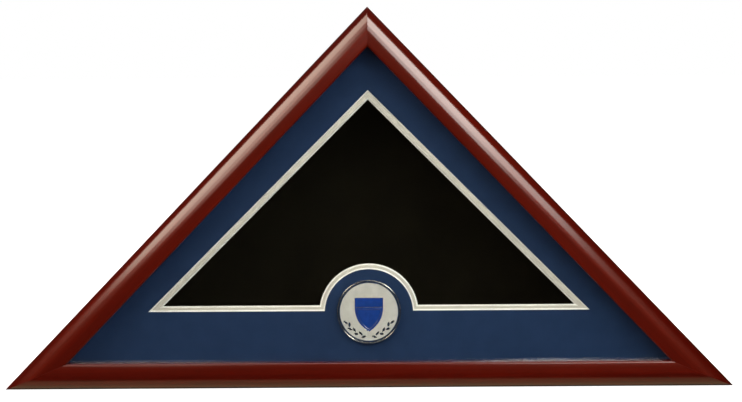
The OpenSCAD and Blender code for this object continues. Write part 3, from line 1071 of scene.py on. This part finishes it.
def bumpers():
    """Four clear domes on the back that keep the case off the wall."""
    edge = degrees(asin(BUMPER_R / BUMPER_DOME_R))
    centre = BUMPER_H - BUMPER_DOME_R
    dome = arc((0, centre), BUMPER_DOME_R, 90 - edge, 90, 12)
    profile = [(0, 0), (BUMPER_R - 0.1 * MM, 0), (BUMPER_R, 0.1 * MM)]
    profile += dome[:-1] + [(0, BUMPER_H)]
    shape = Shape()
    for side, s in ((BOTTOM, FOOT_BUMPER_S), (BOTTOM, BOTTOM.length - FOOT_BUMPER_S),
                    (LEFT, LEFT.length - APEX_BUMPER_S), (RIGHT, APEX_BUMPER_S)):
        shape.add(*lathe(profile, 40), side.land(s))
    piece("wall_bumper_set", shape, [rubber()], ["wall_bumpers"], sharp=30)


def hardware():
    """Everything of metal or rubber on the back of the frame."""
    brass = metal("brass_plating", srgb(214, 178, 104), srgb(168, 130, 70), 0.24, 0.42)
    zinc = metal("zinc_plating", srgb(200, 202, 204), srgb(150, 152, 156), 0.26, 0.46)
    turn_buttons(brass)
    button_places = [side.land(s) for _, side, s, _ in BUTTONS]
    screws("turn_button_screw_set", "turn_button_screws", WASHER_T + BUTTON_T + HEAD_GAP, button_places, zinc)
    washers(button_places, zinc)
    hanger_holes = []
    for name, side, s, turn in HANGERS:
        place = side.land(s, turn)
        hanger_strap(name, place, zinc)
        d_ring(name, place, zinc)
        hanger_holes.append(place @ Matrix.Translation((STRAP_HOLE, 0, 0)))
    screws("hanger_screw_set", "hanger_screws", STRAP_T, hanger_holes, zinc)
    piece("corner_v_nail_set", v_nails(0.2 * MM, 0), [zinc], ["corner_v_nails"])
    bumpers()


# ------- stage, light and camera


def floor():
    """A large white floor that the camera sees evenly bright, with a soft contact shadow."""
    signs = ((-1, -1), (1, -1), (1, 1), (-1, 1))
    corners = [(x * FLOOR_HALF, y * FLOOR_HALF, 0) for x, y in signs]
    data = bpy.data.meshes.new("floor")
    data.from_pydata(corners, [], [(0, 1, 2, 3)])
    made = linked("floor", data)
    m = Material("floor_white", Roughness=0.9, Specular_IOR_Level=0.0, Base_Color=(0.6, 0.6, 0.6, 1))
    path = m.node("ShaderNodeLightPath")
    glow = m.node("ShaderNodeEmission", {"Strength": path.outputs["Is Camera Ray"]})
    both = m.node("ShaderNodeAddShader", {0: m.shader.outputs[0], 1: glow.outputs[0]})
    m.tree.links.new(both.outputs[0], m.output.inputs[0])
    data.materials.append(m.material)
    made.visible_glossy = False
    made.visible_transmission = False


def world():
    """White to the camera, also through the glass. Diffuse rays meet a dim room. Mirrored ones meet a
    dark room with a warm glow below and a pale wall behind the case."""
    made = bpy.data.worlds.new("studio")
    bpy.context.scene.world = made
    made.use_nodes = True
    tree = made.node_tree
    tree.nodes.clear()

    def node(kind, *links, **values):
        """A new node; links holds pairs of an input and the socket that feeds it."""
        new = tree.nodes.new("ShaderNode" + kind)
        for place, source in links:
            tree.links.new(source, new.inputs[place])
        for name, value in values.items():
            new.inputs[name.replace("_", " ")].default_value = value
        return new

    path = node("LightPath")
    heading = node("SeparateXYZ", (0, node("TexCoord").outputs["Generated"]))
    height, depth = (0, heading.outputs["Z"]), (0, heading.outputs["Y"])
    glow = node("MapRange", height, From_Min=-0.72, From_Max=-0.86, To_Min=0.012, To_Max=0.42)
    wall = node("MapRange", depth, From_Min=0.97, From_Max=0.99, To_Min=0.0, To_Max=1.0)
    direct = node("Math", (0, path.outputs["Diffuse Depth"]), (1, path.outputs["Glossy Depth"]))
    through = node("Math", (0, path.outputs["Is Transmission Ray"]), (1, direct.outputs[0]))
    through.operation = "GREATER_THAN"
    white = node("Math", (0, path.outputs["Is Camera Ray"]), (1, through.outputs[0]))
    white.operation = "MAXIMUM"
    seen = node("Background", Color=(1, 1, 1, 1), Strength=1.0)
    room = node("Background", Color=(1, 1, 1, 1), Strength=0.1)
    below = node("Background", ("Strength", glow.outputs[0]), Color=(1, 0.75, 0.42, 1))
    behind = node("Background", Color=(1, 1, 1, 1), Strength=0.5)
    mirrored = node("MixShader", (0, wall.outputs[0]), (1, below.outputs[0]), (2, behind.outputs[0]))
    diffuse = (0, path.outputs["Is Diffuse Ray"])
    other = node("MixShader", diffuse, (1, mirrored.outputs[0]), (2, room.outputs[0]))
    both = node("MixShader", (0, white.outputs[0]), (1, other.outputs[0]), (2, seen.outputs[0]))
    tree.links.new(both.outputs[0], node("OutputWorld").inputs[0])


def softbox(name, side, angles, span, radiance, colour):
    """A panel of light over a rail's outer side. Its angles are degrees off the line of sight, and its
    span runs up the rail, in metres from the foot."""
    middle, spread = radians(sum(angles) / 2), radians(angles[1] - angles[0]) / 2
    away = -side.inward * sin(middle) - Vector((0, cos(middle), 0))
    size = span[1] - span[0], 2 * PANEL_REACH * tan(spread)
    up_rail = sum(span) / 2
    crest = side.matrix(up_rail if side is LEFT else side.length - up_rail, ROUND_R, FRONT_Y).translation
    area_light(name, crest + away * PANEL_REACH, away, side.along, size, radiance, colour)


def area_light(name, centre, away, along, size, radiance, colour=(1, 1, 1)):
    """A rectangular light that shines against the direction away; its first size is measured along."""
    data = bpy.data.lights.new(name, "AREA")
    data.shape = "RECTANGLE"
    data.size, data.size_y = size
    data.energy = radiance * pi * size[0] * size[1]
    data.color = colour
    made = linked(name, data)
    axes = Matrix((along, away.cross(along), away)).transposed()
    made.matrix_world = Matrix.Translation(centre) @ axes.to_4x4()
    made.visible_camera = False


def lights():
    """Panels that the side rails mirror as bands, a strip above and a lamp for the back."""
    warm, mild = (1, 0.86, 0.71), (1, 1, 0.93)
    softbox("left_key", LEFT, (46, 88), (-0.07, 0.53), 6, warm)
    softbox("left_middle", LEFT, (24, 46), (0.01, 0.46), 4.2, warm)
    softbox("left_inner", LEFT, (5, 24), (0.1, 0.44), 2, warm)
    softbox("right_key_low", RIGHT, (26, 71), (0.02, 0.2), 4.2, mild)
    softbox("right_key_high", RIGHT, (26, 71), (0.2, 0.6), 8.4, mild)
    softbox("right_inner", RIGHT, (5, 26), (0.18, 0.5), 5.8, mild)
    across = Vector((1, 0, 0))
    above, behind = Vector((0, -0.34, 0.94)), Vector((0, 0.6, 0.8))
    area_light("top_strip", above * TOP_REACH, above, across, (1.6, 0.5), 3)
    area_light("rear", behind * REAR_REACH, behind, across, (1.2, 1.2), 8)


def camera():
    """In front of the case, a little below its apex, looking slightly down and tilted a little."""
    data = bpy.data.cameras.new("camera")
    made = linked("camera", data)
    data.lens, data.sensor_width = CAMERA_LENS, 36
    data.clip_end = 100
    pitch, yaw, roll = (radians(a) for a in (CAMERA_PITCH, CAMERA_YAW, CAMERA_ROLL))
    forward = Vector((sin(yaw) * cos(pitch), cos(yaw) * cos(pitch), sin(pitch)))
    right = forward.cross(Vector((0, 0, 1))).normalized()
    up = right.cross(forward)
    tilted = right * cos(roll) + up * sin(roll)
    axes = Matrix((tilted, (-forward).cross(tilted), -forward)).transposed()
    made.matrix_world = Matrix.Translation((0, FRONT_Y - CAMERA_AWAY, CAMERA_Z)) @ axes.to_4x4()
    bpy.context.scene.camera = made
    bpy.context.scene.view_settings.view_transform = "Standard"


rails()
strips()
glass_pane()
mats()
medallion()
back_panel()
hardware()
floor()
world()
lights()
camera()
